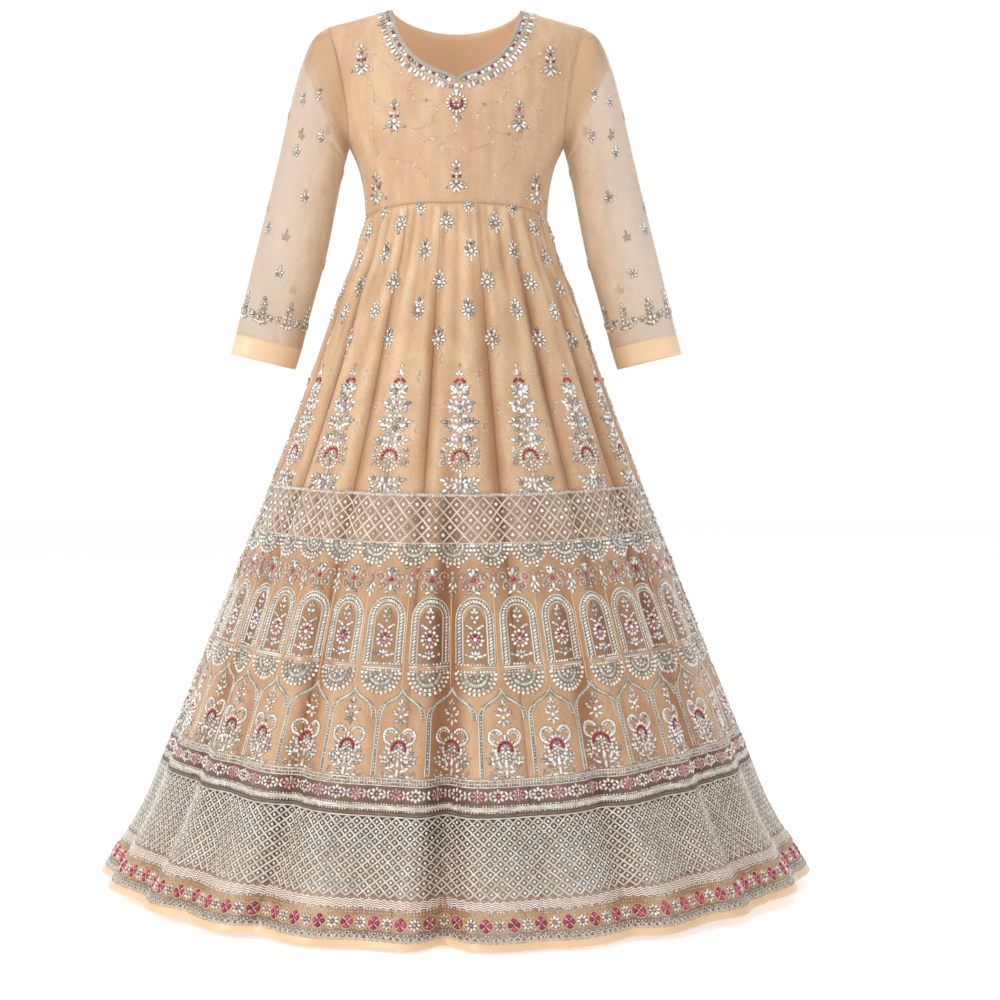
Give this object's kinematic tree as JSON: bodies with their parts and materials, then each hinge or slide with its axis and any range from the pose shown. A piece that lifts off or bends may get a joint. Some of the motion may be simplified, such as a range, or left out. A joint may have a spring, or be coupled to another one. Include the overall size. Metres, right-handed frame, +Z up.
{
  "type": "anarkali gown",
  "caption": "Floor-length anarkali gown, hollow as if worn: fitted bodice with a curved neck, sheer long sleeves with satin cuffs, and a flared kali skirt covered in stone embroidery.",
  "frame": {"origin": "midway between the two points where the shoulder seams meet the neckline, at their height, where the wearer's shoulders hold the gown", "axes": "the front faces -Y, +X points to the wearer's left, +Z up from hem to shoulders"},
  "size_m": [1.0926, 0.9963, 1.3368],
  "materials": {
    "net": "sheer peach net, embroidered with clear and magenta stones and silver thread",
    "lining": "peach satin lining with a soft sheen",
    "satin": "peach satin, doubled, with a clear sheen",
    "silver_work": "silver thread piping and embroidery, set with clear and magenta stones"
  },
  "bodies": {
    "root": {"bodice_front": "net", "bodice_back_left": "net", "bodice_back_right": "net", "sleeve_left": "net", "sleeve_right": "net", "kali_01": "net", "kali_02": "net", "kali_03": "net", "kali_04": "net", "kali_05": "net", "kali_06": "net", "kali_07": "net", "kali_08": "net", "kali_09": "net", "kali_10": "net", "kali_11": "net", "kali_12": "net", "kali_13": "net", "kali_14": "net", "kali_15": "net", "kali_16": "net", "bodice_lining_front": "lining", "bodice_lining_back_left": "lining", "bodice_lining_back_right": "lining", "cap_lining_left": "lining", "cap_lining_right": "lining", "skirt_lining": "lining", "cuff_left": "satin", "cuff_right": "satin", "hem_binding": "satin", "neck_piping_front": "silver_work"}
  },
  "joints": []
}
